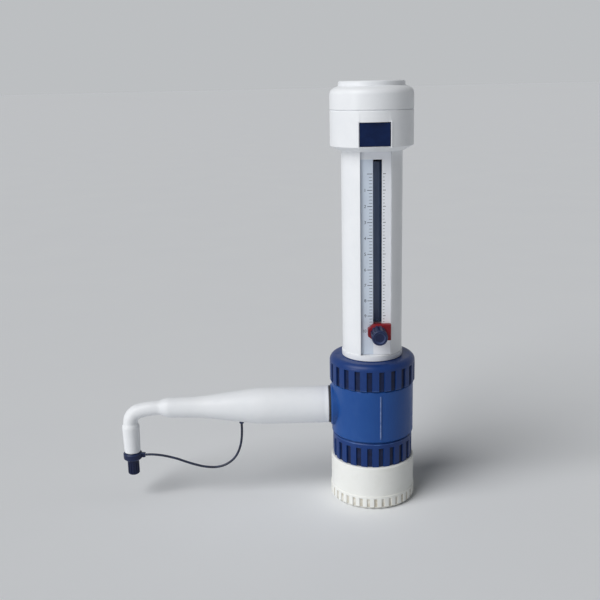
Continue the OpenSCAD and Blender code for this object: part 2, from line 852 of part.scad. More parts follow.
module nozzle_cap() {
    color(DARK) at_nozzle() {
        rotate_extrude() polygon([
            [0, cap_z], [cap_r - edge, cap_z], [cap_r, cap_z + edge], [cap_r, cap_flange_z],
            [cap_flange_r - edge, cap_flange_z], [cap_flange_r, cap_flange_z + edge],
            [cap_flange_r, cap_top - edge], [cap_flange_r - edge, cap_top],
            [tube_r + run, cap_top], [tube_r + run, cap_bore_z], [0, cap_bore_z]
        ]);
        block([cap_flange_r - edge, cap_flange_r + lug_reach], [-lug_w / 2, lug_w / 2],
              [cap_top - edge - lug_h, cap_top - edge]);
    }
}

// Sleeve, scale and head

// The sleeve's hollow: round, with a flat behind the panel
module sleeve_hollow(inset) {
    intersection() {
        circle(r = sleeve_bore_r - inset);
        translate([-sleeve_r, -panel_back_y + inset]) square([2 * sleeve_r, 2 * sleeve_r]);
    }
}

module head_screw_holes(r, z0, z1) {
    rotate(90) around(screw_count) translate([screw_circle_r, 0, 0]) rod(r, z0, z1);
}

module slot_cut(width, y) {
    block([slot_x - width / 2, slot_x + width / 2], y, [slot_z, slot_top]);
}

module sleeve() {
    color(WHITE) difference() {
        union() {
            rod(sleeve_r, sleeve_z, web_z);
            rod(foot_r, sleeve_z, sleeve_z + foot_h);
        }
        translate([0, 0, sleeve_z - over]) linear_extrude(sleeve_flange_z - sleeve_z + over) sleeve_hollow(0);
        rod(sleeve_eye_r, sleeve_flange_z - over, web_z + over);
        block([panel_left, panel_right], [-sleeve_r - over, -panel_y], [panel_z, head_z + over]);
        slot_cut(slot_w, [-sleeve_r, -panel_back_y + over]);
        head_screw_holes(screw_r + run, sleeve_flange_z - over, web_z + over);
    }
}

module guide_bush() {
    color(WHITE) translate([0, 0, bush_z]) linear_extrude(bush_h) difference() {
        sleeve_hollow(fit);
        circle(r = guide_r + run);
    }
}

module scale_panel() {
    color(GREY) difference() {
        block([panel_left + play, panel_right - play], [-scale_y, -panel_y],
              [panel_z + play, head_z + over - play]);
        slot_cut(slot_w + 2 * fit, [-scale_y - over, -panel_y + over]);
    }
}

module plate_box(gap, y) {
    block([-plate_w / 2 - gap, plate_w / 2 + gap], y, [plate_z - gap, plate_z + plate_h + gap]);
}

module head_ring() {
    color(WHITE) difference() {
        union() {
            rotate_extrude() polygon([
                [head_bore_r, head_z], [head_foot_r, head_z], [head_r, head_z + head_taper_h],
                [head_r, parting_z - parting_edge], [head_r - parting_edge, parting_z],
                [head_r - head_wall, parting_z], [head_r - head_wall, web_top],
                [rod_r + fit, web_top], [rod_r + fit, web_z], [head_bore_r, web_z]
            ]);
            plate_box(plate_rim, [-plate_y, -head_foot_r]);
        }
        plate_box(plate_gap, [-head_r - over, -plate_y + plate_t]);
        head_screw_holes(screw_r + fit, web_z - over, web_top + over);
    }
}

module head_lid() {
    roof_z = head_top - lid_roof_t;
    disc_z = head_top - lid_disc_h;
    color(WHITE) rotate_extrude() polygon([
        [0, roof_z - lid_disc_h], [lid_spigot_r - head_wall, roof_z - lid_disc_h],
        [lid_spigot_r - head_wall, parting_z - lid_spigot_h], [lid_spigot_r, parting_z - lid_spigot_h],
        [lid_spigot_r, parting_z], [head_r - parting_edge, parting_z], [head_r, parting_z + parting_edge],
        [head_r, disc_z - lid_shoulder], [head_r - edge, disc_z - lid_shoulder / 2],
        [lid_disc_r + edge, disc_z], [lid_disc_r, disc_z],
        [lid_disc_r, head_top - edge], [lid_disc_r - edge, head_top], [0, head_top]
    ]);
}

module label_plate() {
    color(DARK) plate_box(0, [-plate_y, -plate_y + plate_t]);
}

module head_screws() {
    color(STEEL) {
        head_screw_holes(screw_r, sleeve_flange_z, web_top + fit);
        head_screw_holes(screw_head_r, web_top, web_top + screw_head_h);
    }
}

module piston_rod() {
    color(STEEL) {
        rod(piston_neck_r, piston_top - piston_neck_len, piston_top + fit);
        rod(rod_r, piston_top, rod_top);
        rod(rod_collar_r, web_z - rod_collar_h, web_z);
    }
}

module rod_nut() {
    color(STEEL) difference() {
        translate([0, 0, web_top]) cylinder(r = rod_nut_r, h = rod_nut_h, $fn = 6);
        rod(rod_r + run, web_top - over, web_top + rod_nut_h + over);
    }
}

// The two seals sit in grooves near the ends of the piston
module seal_spans(r_in, r_out) {
    for (z = [piston_z + seal_land, piston_top - seal_land - seal_h]) ring(r_in, r_out, z, z + seal_h);
}

module piston() {
    color(WHITE) difference() {
        rod(piston_r, piston_z, piston_top);
        seal_spans(piston_r - seal_groove, piston_r + over);
        rod(piston_neck_r + run, piston_top - piston_neck_len, piston_top + over);
    }
}

module piston_seals() {
    color(RUBBER) seal_spans(piston_r - seal_groove + run, bore_r - run);
}

// Slider

module slider_block() {
    color(RED) difference() {
        translate([slot_x, 0, slider_z]) {
            block([slider_left, slider_right],
                  [-slider_front_y, -slider_y], [-slider_h / 2, slider_h / 2]);
            block([-tongue_w / 2, tongue_w / 2], [-slider_y - fit, -panel_back_y],
                  [-tongue_h / 2, tongue_h / 2]);
        }
        to_front(slot_x, slider_z) rod(clamp_screw_r + fit, 0, slider_front_y + over);
    }
}

module clamp_nut() {
    color(STEEL) difference() {
        translate([slot_x, 0, slider_z]) {
            block([-clamp_nut_w / 2, clamp_nut_w / 2], [-clamp_front_y, -clamp_back_y],
                  [-clamp_nut_h / 2, clamp_nut_h / 2]);
            block([-finger_w / 2, finger_w / 2], [-clamp_back_y - fit, -guide_r + finger_depth],
                  [clamp_nut_h / 2 - finger_h, clamp_nut_h / 2]);
        }
        to_front(slot_x, slider_z) rod(clamp_screw_r + run, 0, slider_front_y);
    }
}

module thumb_knob() {
    color(DARK) to_front(slot_x, slider_z) difference() {
        rotate_extrude() polygon([
            [clamp_screw_r + run, knob_y], [knob_r - edge, knob_y], [knob_r, knob_y + edge],
            [knob_r, knob_front_y - edge], [knob_r - edge, knob_front_y],
            [0, knob_front_y], [0, knob_front_y - edge], [clamp_screw_r + run, knob_front_y - edge]
        ]);
        around(knob_flutes) translate([knob_r, 0, 0])
            rod(knob_flute_r, knob_y + 2 * edge, knob_front_y + over);
    }
}

module clamp_screw() {
    color(STEEL) to_front(slot_x, slider_z) rod(clamp_screw_r, clamp_back_y, knob_front_y - edge);
}

// The length of the tether and the least gap between the spring's turns, on their points
function steps(path) = [for (i = [1 : len(path) - 1]) norm(path[i] - path[i - 1])];
function total(v, i = 0) = i < len(v) ? v[i] + total(v, i + 1) : 0;
function least_gap(path, apart, d) = min([
    for (i = [0 : len(path) - 1 - apart], j = [i + apart : len(path) - 1]) norm(path[j] - path[i]) - d]);
echo(tether_length = total(steps(tether_path)));
echo(spring_gap = least_gap(spring_path, spring_steps / 2, spring_wire_d));

bottle_adapter();
adapter_gasket();
collar_nut();
valve_block();
swivel_ring();
union_nut();
guide_tube();
glass_cylinder();
cylinder_seal();
intake_valve_body();
intake_seal();
ball_retainer();
intake_ball();
vent_plug();
discharge_valve_body();
discharge_ball();
discharge_spring();
arm_seal();
discharge_arm();
discharge_tube();
tether_anchor();
cap_tether();
nozzle_cap();
sleeve();
guide_bush();
scale_panel();
head_ring();
head_lid();
label_plate();
head_screws();
piston_rod();
rod_nut();
piston();
piston_seals();
slider_block();
clamp_nut();
thumb_knob();
clamp_screw();
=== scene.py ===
import json
import math

import bmesh
import bpy
from mathutils import Matrix, Vector


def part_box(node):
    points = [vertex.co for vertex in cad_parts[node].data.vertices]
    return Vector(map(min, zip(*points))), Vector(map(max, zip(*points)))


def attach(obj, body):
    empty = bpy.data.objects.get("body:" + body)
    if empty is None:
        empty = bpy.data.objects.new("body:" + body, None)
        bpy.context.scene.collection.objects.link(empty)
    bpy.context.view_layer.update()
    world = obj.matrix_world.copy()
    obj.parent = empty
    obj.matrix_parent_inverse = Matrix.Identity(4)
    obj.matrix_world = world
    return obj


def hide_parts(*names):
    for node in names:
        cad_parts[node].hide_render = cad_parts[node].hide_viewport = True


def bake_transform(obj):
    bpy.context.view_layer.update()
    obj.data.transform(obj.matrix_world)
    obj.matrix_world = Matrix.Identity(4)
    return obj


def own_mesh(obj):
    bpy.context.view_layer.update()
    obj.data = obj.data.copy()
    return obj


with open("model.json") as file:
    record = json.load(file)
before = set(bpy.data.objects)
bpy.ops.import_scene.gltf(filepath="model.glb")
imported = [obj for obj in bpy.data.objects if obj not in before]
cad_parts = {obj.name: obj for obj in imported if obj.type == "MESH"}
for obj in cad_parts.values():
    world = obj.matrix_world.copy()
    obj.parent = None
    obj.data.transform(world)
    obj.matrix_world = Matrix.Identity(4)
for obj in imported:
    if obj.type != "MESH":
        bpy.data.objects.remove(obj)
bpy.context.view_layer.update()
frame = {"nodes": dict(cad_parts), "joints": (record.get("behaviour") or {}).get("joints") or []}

# Camera. It stands in front of the pump and a little to the left of it, looks down by about fourteen
# degrees and is held with a slight tilt.
camera_place = (-0.0476, -0.558, 0.280)
camera_pitch = math.radians(90 - 14.2)
camera_tilt = math.radians(-1.3)
camera = bpy.data.objects.new("camera", bpy.data.cameras.new("camera"))
camera.data.sensor_width = 36
camera.data.lens = 52.2
camera.matrix_world = (
    Matrix.Translation(camera_place)
    @ Matrix.Rotation(camera_pitch, 4, "X")
    @ Matrix.Rotation(camera_tilt, 4, "Z")
)
bpy.context.scene.collection.objects.link(camera)
bpy.context.scene.camera = camera
bpy.context.scene.view_settings.view_transform = "Standard"


# Tether. A thin cord of soft dark plastic that keeps the nozzle cap from being lost.
# It is moulded in one length and hangs in a loose bow from the cap's lug to a stud under the arm.
mm = 0.001
# Corners that lie nearer than this are one corner, and faces that meet more steeply are shaded apart
merge_distance = 0.002 * mm
crease_angle = math.radians(35)
tether_d = 1.6 * mm
tether_sides = 16
tether_smoothing = 4
stud_low, stud_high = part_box("tether_anchor")
tether_start = (-156.58, 31.0)
tether_end = ((stud_low.x + stud_high.x) / 2 / mm, stud_low.z / mm)
tether_route = [
    (-158.1, 31.7), (-154, 31.7), (-149.5, 31.2), (-145, 30.4), (-140.5, 29.2), (-136, 27.8), (-131.5, 26),
    (-127, 24.3), (-122.5, 22.8), (-118, 21.6), (-113.5, 20.9), (-109, 20.8), (-104.5, 21.6), (-100.5, 23.4),
    (-97, 26), (-94.2, 29.4), (-92.2, 33.4), (-90.8, 37.8), (-90, 42.4), (-89.6, 47.2), (-89.5, 52.3),
]


class Wire:
    """A socket of a finish. Sums and products on it add Math nodes, and node() adds any other kind."""

    def __init__(self, tree, socket=None):
        self.tree = tree
        self.socket = socket

    def node(self, kind, settings=None, sockets=None, output=0):
        made = self.tree.nodes.new("ShaderNode" + kind)
        for name, value in (settings or {}).items():
            setattr(made, name, value)
        for name, value in (sockets or {}).items():
            if isinstance(value, Wire):
                self.tree.links.new(value.socket, made.inputs[name])
            else:
                made.inputs[name].default_value = value
        return Wire(self.tree, made.outputs[output] if made.outputs else None)

    def noise(self, scale, detail):
        return self.node("TexNoise", {}, {"Vector": self, "Scale": scale, "Detail": detail})

    def ramp(self, low, high):
        """0 below low, 1 above high and a straight rise between them; high may be the lower one."""
        return self.node("MapRange", {}, {"Value": self, "From Min": low, "From Max": high})

    def mix(self, colour, other):
        """One colour where this wire is 0, the other where it is 1."""
        return self.node("Mix", {"data_type": "RGBA"}, {0: self, 6: colour, 7: other}, output=2)

    def axis(self, name):
        return self.node("SeparateXYZ", {}, {0: self}, output=name)

    def math(self, operation, first, second):
        return self.node("Math", {"operation": operation}, {0: first, 1: second})

    def __add__(self, other):
        return self.math("ADD", self, other)

    def __sub__(self, other):
        return self.math("SUBTRACT", self, other)

    def __rsub__(self, other):
        return self.math("SUBTRACT", other, self)

    def __mul__(self, other):
        return self.math("MULTIPLY", self, other)

    def __abs__(self):
        return self.math("ABSOLUTE", self, 0)

    __radd__ = __add__
    __rmul__ = __mul__


def paint(red, green, blue):
    """A colour as a screen shows it, from 0 to 255, in the light values that a shader takes."""
    shares = [value / 255 for value in (red, green, blue)]
    return tuple(s / 12.92 if s < 0.04 else ((s + 0.055) / 1.055) ** 2.4 for s in shares) + (1,)


def new_finish(name):
    """An empty material, and the wire that carries a point's place on the piece."""
    finish = bpy.data.materials.new(name)
    finish.use_nodes = True
    finish.node_tree.nodes.clear()
    return finish, Wire(finish.node_tree).node("TexCoord", output="Object")


def lay(place, sockets):
    """Ends a finish with its shader."""
    shader = place.node("BsdfPrincipled", {}, sockets)
    place.node("OutputMaterial", {}, {"Surface": shader})


def soft_cord_finish(name, colour, dull):
    """Soft plastic cord: fine lines drawn along its length, and a duller skin where it is handled."""
    finish, place = new_finish(name)
    stretched = place.node("Mapping", {}, {"Vector": place, "Scale": (0.15, 1, 0.15)})
    lines = stretched.noise(6000, 2)
    handled = place.noise(220, 4).ramp(0.45, 0.7)
    lay(place, {
        "Base Color": handled.mix(colour, dull),
        "Roughness": 0.38 + 0.2 * handled,
        "Normal": place.node("Bump", {}, {"Height": lines, "Distance": 0.02 * mm}),
    })
    return finish


def drawn_along(stations, sides):
    """A tube through rings in the XZ plane. Each ring has a centre, a heading and a radius."""
    bm = bmesh.new()
    ring = bmesh.ops.create_circle(bm, segments=sides, radius=1)["verts"]
    edges = bm.edges[:]
    last = Matrix.Identity(4)
    for count, (centre, heading, radius) in enumerate(stations):
        turn = Matrix.Rotation(math.atan2(heading[0], heading[1]), 4, "Y")
        here = Matrix.Translation((centre[0], 0, centre[1])) @ turn @ Matrix.Scale(radius, 4)
        if count:
            grown = bmesh.ops.extrude_edge_only(bm, edges=edges)["geom"]
            ring = [part for part in grown if isinstance(part, bmesh.types.BMVert)]
            inside = set(ring)
            edges = [part for part in grown
                     if isinstance(part, bmesh.types.BMEdge) and inside.issuperset(part.verts)]
        bmesh.ops.transform(bm, matrix=here @ last.inverted(), verts=ring)
        last = here
    return bm


def close_ends(bm):
    """Fills the open ends of a tube."""
    bmesh.ops.holes_fill(bm, edges=[edge for edge in bm.edges if edge.is_boundary])


def as_piece(bm, name, finish, slot, *nodes):
    """Turns a finished bmesh into a piece, which may stand for CAD nodes."""
    bmesh.ops.remove_doubles(bm, verts=bm.verts, dist=merge_distance)
    bmesh.ops.recalc_face_normals(bm, faces=bm.faces)
    mesh = bpy.data.meshes.new(name)
    bm.to_mesh(mesh)
    bm.free()
    mesh.shade_smooth()
    mesh.set_sharp_from_angle(angle=crease_angle)
    mesh.materials.append(finish)
    piece = bpy.data.objects.new(name, mesh)
    bpy.context.scene.collection.objects.link(piece)
    piece.modifiers.new("even_shading", "WEIGHTED_NORMAL").keep_sharp = True
    if nodes:
        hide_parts(*nodes)
    return piece


def eased(points, count):
    """Puts further points on a smooth curve between each two."""
    padded = [points[0], *points, points[-1]]
    curve = []
    for a, b, c, d in zip(padded, padded[1:], padded[2:], padded[3:]):
        for step in range(count):
            t = step / count
            curve.append(b + (c - a) * t / 2 + (a - 2.5 * b + 2 * c - d / 2) * t ** 2
                         + (1.5 * (b - c) + (d - a) / 2) * t ** 3)
    return curve + [points[-1]]


# The route's ends move to the lug and the stud, and each point between them by a share of both moves.
start_shift = Vector(tether_start) - Vector(tether_route[0])
end_shift = Vector(tether_end) - Vector(tether_route[-1])
tether_points = [
    (Vector(point) + start_shift.lerp(end_shift, count / (len(tether_route) - 1))) * mm
    for count, point in enumerate(tether_route)
]
tether_line = eased(tether_points, tether_smoothing)
headings = [after - before for before, after in zip([tether_line[0], *tether_line], tether_line[1:])]
tether_stations = [
    (point, heading, tether_d / 2) for point, heading in zip(tether_line, headings + headings[-1:])
]
tether_mesh = drawn_along(tether_stations, tether_sides)
close_ends(tether_mesh)
tether = as_piece(tether_mesh, "hanging_tether",
                  soft_cord_finish("tether_plastic", paint(20, 28, 52), paint(44, 54, 82)),
                  "dark_plastic", "cap_tether")
tether_length = sum((b - a).length for a, b in zip(tether_line, tether_line[1:]))
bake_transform(tether)


# Bottle adapter. The cream screw ring that the pump stands on and that screws onto a bottle's neck.
# It is moulded in polypropylene, with a ribbed rim for the hand and the bottle's thread inside.
adapter_outline = [
    (15.5, 24), (15.5, 39), (19, 39), (19, 29.8), (27.3, 29.8), (28.1, 29), (28.1, 9.5), (28.6, 9),
    (28.6, 7.9), (28.6, 7.2), (28.6, 2), (26.6, 0), (22.6, 0), (22.6, 22), (21.6, 22), (21.6, 24),
]
rim_ribs = 36
rim_floor = 28
rim_groove_top = 7.5
# Painted shade round the foot starts at this radius and fades out at this height
foot_shade_from = 26.4
foot_shade_height = 2.2
# Places of the wall's corners in one rib and groove, as shares of their pitch: first the crest's corners,
# then those of the groove's floor
rib_corners = [0, 0.18, 0.36, 0.54, 0.58, 0.7, 0.84, 0.96]
crest_corners = 4
groove_middle = 0.77
# Edges that are sharper than this get rounded
softened_angle = math.radians(25)


def turned(outline, steps, closed=True):
    """Spins an outline of radius and height, in millimetres, round Z. An open one ends on the axis."""
    bm = bmesh.new()
    corners = [bm.verts.new((radius * mm, 0, height * mm)) for radius, height in outline]
    pairs = zip(corners, corners[1:] + (corners[:1] if closed else []))
    edges = [bm.edges.new(pair) for pair in pairs]
    bmesh.ops.spin(bm, geom=corners + edges, axis=(0, 0, 1), cent=(0, 0, 0), angle=2 * math.pi,
                   steps=steps, use_merge=True)
    bmesh.ops.remove_doubles(bm, verts=bm.verts, dist=merge_distance)
    bmesh.ops.recalc_face_normals(bm, faces=bm.faces)
    return bm


def press_grooves(bm, count, floor, top):
    """Presses straight grooves into a round wall that was turned with a step for each rib corner."""
    pitch = 2 * math.pi / count
    steps = len(rib_corners)
    for vert in bm.verts:
        radius = math.hypot(vert.co.x, vert.co.y)
        rib, corner = divmod(round(math.atan2(vert.co.y, vert.co.x) / pitch * steps), steps)
        angle = (rib + rib_corners[corner] - groove_middle) * pitch
        if corner >= crest_corners and vert.co.z < top * mm:
            radius = min(radius, floor * mm)
        vert.co.x = radius * math.cos(angle)
        vert.co.y = radius * math.sin(angle)


def soften(bm, width):
    """Rounds every sharp edge, and marks the rounded faces as edges for the finish."""
    edge_mark = bm.faces.layers.float.new("edge")
    sharp = [edge for edge in bm.edges if edge.is_manifold and edge.calc_face_angle() > softened_angle]
    rounded = bmesh.ops.bevel(bm, geom=sharp, offset=width * mm, segments=2, profile=0.5, affect="EDGES",
                              material=-1, clamp_overlap=True)
    for face in rounded["faces"]:
        face[edge_mark] = 1


def ribbed(outline, count, floor, top, width, closed=True):
    """A turned piece with grooves in its wall and rounded edges."""
    bm = turned(outline, count * len(rib_corners), closed)
    press_grooves(bm, count, floor, top)
    soften(bm, width)
    return bm


def moulded_plastic(name, colour, dull, edge_wear_and_sheen, roughness, seam=None, painted_light_mark=None):
    """Moulded plastic: a slow drift of tone, rubbed patches, rounded edges in an edge colour that is partly
    wear and, on the dark pieces, partly painted highlight, and the mould's fine grain.
    A seam is a line where the halves of the mould met, and a painted light mark a place of painted shade or
    painted highlight and its colour."""
    finish, place = new_finish(name)
    drift = place.noise(38, 2).ramp(0.35, 0.65)
    rubs = place.noise(190, 6).ramp(0.5, 0.72)
    specks = place.noise(1500, 1).ramp(0.74, 0.78)
    edges = place.node("Attribute", {"attribute_name": "edge"}, output="Fac")
    tone = (drift * 0.45 + rubs * 0.3 + specks * 0.35).mix(colour, dull)
    # Rounded edges take the edge colour in patches: wear, and on the navy, dark and red pieces also a
    # painted highlight
    tone = (edges * (0.35 + 0.65 * rubs)).mix(tone, edge_wear_and_sheen)
    height = place.noise(2600, 2) + 0.4 * place.noise(700, 1)
    # A painted light mark lays its painted shade or painted highlight over the tone
    if painted_light_mark:
        where, painted_light_colour = painted_light_mark
        tone = where(place).mix(tone, painted_light_colour)
    if seam:
        height = height + 3 * seam(place)
    lay(place, {
        "Base Color": tone,
        "Roughness": roughness + 0.14 * rubs + 0.05 * drift,
        "Specular IOR Level": 0.3,
        "Normal": place.node("Bump", {}, {"Height": height, "Distance": 0.012 * mm}),
    })
    return finish


def off_axis(place):
    """Distance from the piston's axis."""
    flat = place.node("VectorMath", {"operation": "MULTIPLY"}, {0: place, 1: (1, 1, 0)})
    return flat.node("VectorMath", {"operation": "LENGTH"}, {0: flat}, output="Value")


def rim_dirt(place):
    """Painted shade, tinted beige, between the rim's ribs and round the foot where the rim stands on the
    bench.
    """
    height = place.axis("Z")
    radius = off_axis(place)
    below_crest = radius.ramp((rim_floor + 0.45) * mm, (rim_floor + 0.05) * mm)
    outside = radius.ramp((rim_floor - 0.4) * mm, (rim_floor - 0.1) * mm)
    below_top = height.ramp((rim_groove_top + 0.9) * mm, (rim_groove_top - 0.5) * mm)
    near_edge = radius.ramp(foot_shade_from * mm, (foot_shade_from + 0.8) * mm)
    at_foot = height.ramp(foot_shade_height * mm, 0) * near_edge
    patchy = place.noise(240, 4).ramp(0.3, 0.65)
    return (0.7 * below_crest * outside * below_top + 0.45 * at_foot) * (0.4 + 0.6 * patchy)


# The cream ring gets a beige painted shade between its ribs and round its foot
cream_plastic = moulded_plastic(
    "cream_plastic", paint(239, 240, 237), paint(230, 231, 226), paint(229, 229, 222), roughness=0.4,
    painted_light_mark=(rim_dirt, paint(176, 164, 140)))
adapter_mesh = ribbed(adapter_outline, rim_ribs, rim_floor, rim_groove_top, width=0.22)
adapter = as_piece(adapter_mesh, "screw_adapter", cream_plastic, "cream_plastic", "bottle_adapter")
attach(adapter, "base")


# Bottle thread. The raised thread inside the adapter that takes a bottle's neck.
# It is moulded with the adapter as one coarse rounded ridge that fades out at both ends.
thread_wall = 22.65
thread_ridge = [(0, -1.5), (1.05, -0.5), (1.05, 0.5), (0, 1.5)]
thread_start = 4.5
thread_pitch = 4
thread_turns = 3.2
thread_fade_turns = 0.15
thread_end_share = 0.02
steps_per_turn = 60


def bottle_thread():
    """The ridge is spun upwards and rounded, and both its ends sink into the wall."""
    bm = bmesh.new()
    corners = [
        bm.verts.new(((thread_wall - rise) * mm, 0, (thread_start + z) * mm)) for rise, z in thread_ridge
    ]
    edges = [bm.edges.new(pair) for pair in zip(corners, corners[1:] + corners[:1])]
    steps = round(thread_turns * steps_per_turn)
    bmesh.ops.spin(bm, geom=corners + edges, axis=(0, 0, 1), cent=(0, 0, 0), steps=steps,
                   angle=2 * math.pi * thread_turns, dvec=(0, 0, thread_pitch * mm / steps_per_turn))
    close_ends(bm)
    bmesh.ops.recalc_face_normals(bm, faces=bm.faces)
    soften(bm, width=0.25)
    for vert in bm.verts:
        turn = math.atan2(vert.co.y, vert.co.x) / (2 * math.pi)
        turn += round((vert.co.z / mm - thread_start) / thread_pitch - turn)
        share = min(1, turn / thread_fade_turns, (thread_turns - turn) / thread_fade_turns)
        radius = math.hypot(vert.co.x, vert.co.y)
        sunk = thread_wall * mm - (thread_wall * mm - radius) * max(thread_end_share, share)
        vert.co.x *= sunk / radius
        vert.co.y *= sunk / radius
    return bm


thread = as_piece(bottle_thread(), "bottle_thread", cream_plastic, "cream_plastic")
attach(thread, "base")


# Gasket and seals. Flat rings of black rubber, cut from sheet, that lie under the bottle's rim,
# round the intake valve, at the arm's root and on the piston.
def sheet_rubber():
    finish, place = new_finish("sheet_rubber")
    bloom = place.noise(300, 5).ramp(0.42, 0.7)
    lay(place, {
        "Base Color": bloom.mix(paint(34, 34, 38), paint(58, 58, 62)),
        "Roughness": 0.55 + 0.2 * bloom,
        "Normal": place.node("Bump", {}, {"Height": place.noise(3200, 3), "Distance": 0.015 * mm}),
    })
    return finish


def dress(finish, *nodes):
    """Gives CAD solids a finish of their own."""
    for node in nodes:
        frame["nodes"][node].material_slots[0].material = finish


dress(sheet_rubber(), "adapter_gasket", "intake_seal", "arm_seal", "piston_seals")


# Collar nut and union nut. The lower nut holds the valve block down on the adapter, the upper one clamps
# the guide tube and the glass. Both are moulded in navy polypropylene, with ribs for the fingers.
nut_ribs = 22
collar_outline = [
    (19.1, 29.8), (26.4, 29.8), (26.8, 32.8), (26.8, 42.4), (26.8, 43.2), (26.8, 45.8), (26, 46.6),
    (16.6, 46.6), (16.6, 43), (19.1, 43),
]
collar_floor = 25.7
collar_crest = 26.3
collar_groove_foot = 30
collar_groove_top = 42.8
union_foot = [(24.1, 82.9), (27.7, 82.9), (28.5, 83.7), (28.5, 95.9), (28.5, 96.7)]
shoulder_x, shoulder_z = (24.5, 97.1)
shoulder_radius = 4
union_shoulder = [
    (shoulder_x + shoulder_radius * math.cos(math.radians(angle)),
     shoulder_z + shoulder_radius * math.sin(math.radians(angle)))
    for angle in range(0, 91, 10)
]
union_lip = [(10.3, 101.1), (10.3, 96.4), (24.1, 96.4)]
union_floor = 27.4
union_crest = 28.4
union_groove_foot = 83.2
union_groove_top = 96.3
groove_fade = 0.4


def between_ribs(floor, crest, low, high):
    """Painted shade in the grooves of a nut, patchy, and fading out at the grooves' ends."""
    def where(place):
        height = place.axis("Z")
        above_foot = height.ramp((low - groove_fade) * mm, low * mm)
        below_top = height.ramp((high + groove_fade) * mm, high * mm)
        sunk = off_axis(place).ramp(crest * mm, floor * mm)
        return sunk * above_foot * below_top * (0.7 + 0.3 * place.noise(320, 4).ramp(0.3, 0.7))
    return where


navy = paint(15, 49, 110)
navy_dull = paint(26, 62, 124)
# Paler rounded edges of the navy pieces: partly wear, partly painted highlight
navy_edge_wear_and_sheen = paint(76, 110, 168)
# The grooves of both nuts are darkened with painted shade
shaded_groove_navy = paint(4, 17, 50)
collar_groove_shade = between_ribs(collar_floor, collar_crest, collar_groove_foot, collar_groove_top)
collar_finish = moulded_plastic("collar_plastic", navy, navy_dull, navy_edge_wear_and_sheen, roughness=0.34,
                                painted_light_mark=(collar_groove_shade, shaded_groove_navy))
union_groove_shade = between_ribs(union_floor, union_crest, union_groove_foot, union_groove_top)
union_finish = moulded_plastic("union_plastic", navy, navy_dull, navy_edge_wear_and_sheen, roughness=0.34,
                               painted_light_mark=(union_groove_shade, shaded_groove_navy))
collar_mesh = ribbed(collar_outline, nut_ribs, collar_floor, collar_groove_top, width=0.25)
collar = as_piece(collar_mesh, "ribbed_collar", collar_finish, "navy_plastic", "collar_nut")
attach(collar, "base")
union_outline = union_foot + union_shoulder + union_lip
union_mesh = ribbed(union_outline, nut_ribs, union_floor, union_groove_top, width=0.25)
union = as_piece(union_mesh, "ribbed_union", union_finish, "navy_plastic", "union_nut")
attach(union, "valve_block")


# Valve block. The navy body that holds both valves, with a boss for the arm and a spigot for each nut.
# It is moulded in one piece and drilled, and a raised rib marks its front.
front_rib_x = 3.2
front_rib_y = -27.5
# Triangles that meet at less than this are parts of one flat face
flat_angle = math.radians(0.6)


def merged_copy(node):
    """A copy of a CAD solid's mesh, with its triangles joined into flat faces."""
    bm = bmesh.new()
    bm.from_mesh(frame["nodes"][node].data)
    bmesh.ops.remove_doubles(bm, verts=bm.verts, dist=merge_distance)
    bmesh.ops.dissolve_limit(bm, angle_limit=flat_angle, verts=bm.verts, edges=bm.edges)
    return bm


def rounded_copy(node, width):
    """The same copy with its edges rounded as a mould leaves them."""
    bm = merged_copy(node)
    soften(bm, width)
    return bm


def back_seam(place):
    """The line that a mould or an extruder leaves down the back of a piece."""
    return abs(place.axis("X")).ramp(0.25 * mm, 0.1 * mm) * place.axis("Y").ramp(0, 5 * mm)


def front_rib(place):
    """The rib that marks the block's front, with a patchy painted highlight along its crest."""
    across = abs(place.axis("X") - front_rib_x * mm).ramp(0.45 * mm, 0.3 * mm)
    raised = place.axis("Y").ramp(front_rib_y * mm, (front_rib_y - 0.2) * mm)
    return across * raised * (0.4 + 0.6 * place.noise(420, 3).ramp(0.35, 0.6))


# The block's front rib gets a pale blue painted highlight
block_finish = moulded_plastic(
    "block_plastic", paint(26, 73, 143), paint(34, 81, 149), navy_edge_wear_and_sheen, roughness=0.3,
    seam=back_seam, painted_light_mark=(front_rib, paint(126, 146, 190)))
block_mesh = rounded_copy("valve_block", width=0.4)
block = as_piece(block_mesh, "drilled_block", block_finish, "navy_plastic", "valve_block")
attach(block, "valve_block")


# Valve cartridges, swivel ring, cylinder seal and piston. Turned from white fluoroplastic, which is waxy
# and shows the lathe's fine rings.
def turned_fluoroplastic():
    finish, place = new_finish("turned_fluoroplastic")
    rings = place.node("TexWave", {"wave_type": "RINGS", "rings_direction": "Z"},
                       {"Vector": place, "Scale": 900, "Distortion": 1.5, "Detail": 2})
    cloud = place.noise(160, 3).ramp(0.35, 0.7)
    lay(place, {
        "Base Color": cloud.mix(paint(240, 240, 236), paint(226, 227, 224)),
        "Roughness": 0.34 + 0.12 * cloud,
        "Subsurface Weight": 0.15,
        "Subsurface Radius": (1 * mm, 1 * mm, 1 * mm),
        "Normal": place.node("Bump", {}, {"Height": rings, "Distance": 0.008 * mm}),
    })
    return finish


dress(turned_fluoroplastic(), "swivel_ring", "cylinder_seal", "intake_valve_body", "ball_retainer",
      "discharge_valve_body", "piston")


# Glass cylinder and valve balls. The cylinder is drawn borosilicate tube with ground ends, held down by
# the union nut. The balls are ground glass, and each closes the seat of its valve.
def ground_glass():
    finish, place = new_finish("ground_glass")
    film = place.noise(200, 4).ramp(0.4, 0.75)
    lay(place, {
        "Base Color": film.mix(paint(240, 246, 246), paint(228, 238, 238)),
        "Roughness": 0.03 + 0.1 * film,
        "Transmission Weight": 0.92,
        "IOR": 1.47,
        "Normal": place.node("Bump", {}, {"Height": place.noise(90, 2), "Distance": 0.02 * mm}),
    })
    return finish


dress(ground_glass(), "glass_cylinder", "intake_ball", "discharge_ball")


